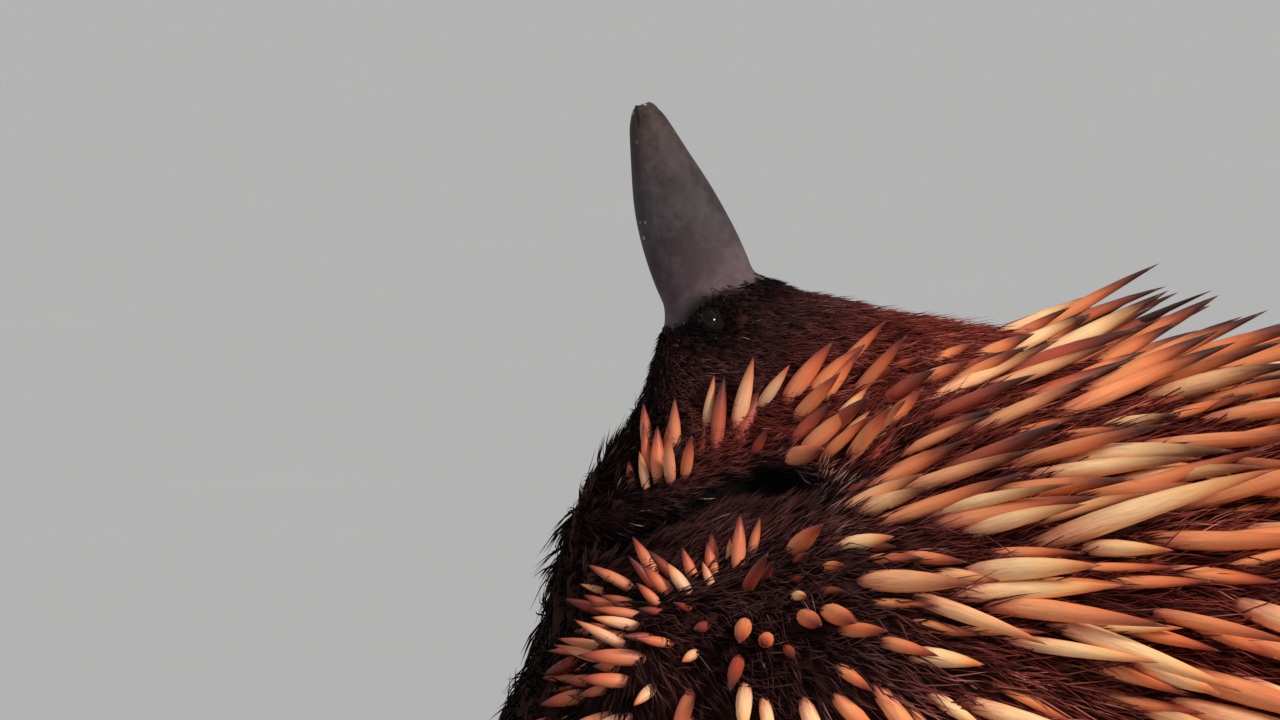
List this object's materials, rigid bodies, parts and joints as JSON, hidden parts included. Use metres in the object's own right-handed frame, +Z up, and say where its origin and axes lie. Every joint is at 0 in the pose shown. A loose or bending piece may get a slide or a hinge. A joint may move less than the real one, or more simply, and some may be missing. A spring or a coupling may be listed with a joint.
{
  "type": "short-beaked echidna",
  "caption": "Life-size short-beaked echidna standing on four feet with its head thrown back and its beak pointing up.",
  "frame": {"origin": "on the floor, under the centre of the bounding box", "axes": "+Z up, the animal faces -Y, its left side is towards +X"},
  "size_m": [0.2436, 0.3252, 0.2095],
  "materials": {
    "spines": "stiff keratin spines, cream to rust with dark tips, over dark brown fur",
    "fur": "short dense dark reddish brown fur",
    "bare_skin": "leathery slate grey skin, slightly dusty",
    "claw": "dark horn, worn paler at the tips",
    "eye": "wet black eye"
  },
  "bodies": {
    "root": {"trunk": "spines", "neck": "spines", "head": "fur", "beak": "bare_skin", "lower_jaw": "bare_skin", "tail": "spines", "eye_left": "eye", "eye_right": "eye", "ear_left": "bare_skin", "ear_right": "bare_skin", "fore_leg_left": "fur", "fore_leg_right": "fur", "fore_foot_left": "fur", "fore_foot_right": "fur", "hind_leg_left": "fur", "hind_leg_right": "fur", "hind_foot_left": "fur", "hind_foot_right": "fur", "fore_claw_left_1": "claw", "fore_claw_left_2": "claw", "fore_claw_left_3": "claw", "fore_claw_left_4": "claw", "fore_claw_left_5": "claw", "fore_claw_right_1": "claw", "fore_claw_right_2": "claw", "fore_claw_right_3": "claw", "fore_claw_right_4": "claw", "fore_claw_right_5": "claw", "hind_claw_left_1": "claw", "hind_claw_left_2": "claw", "hind_claw_left_3": "claw", "hind_claw_left_4": "claw", "hind_claw_left_5": "claw", "hind_claw_right_1": "claw", "hind_claw_right_2": "claw", "hind_claw_right_3": "claw", "hind_claw_right_4": "claw", "hind_claw_right_5": "claw"}
  },
  "joints": []
}
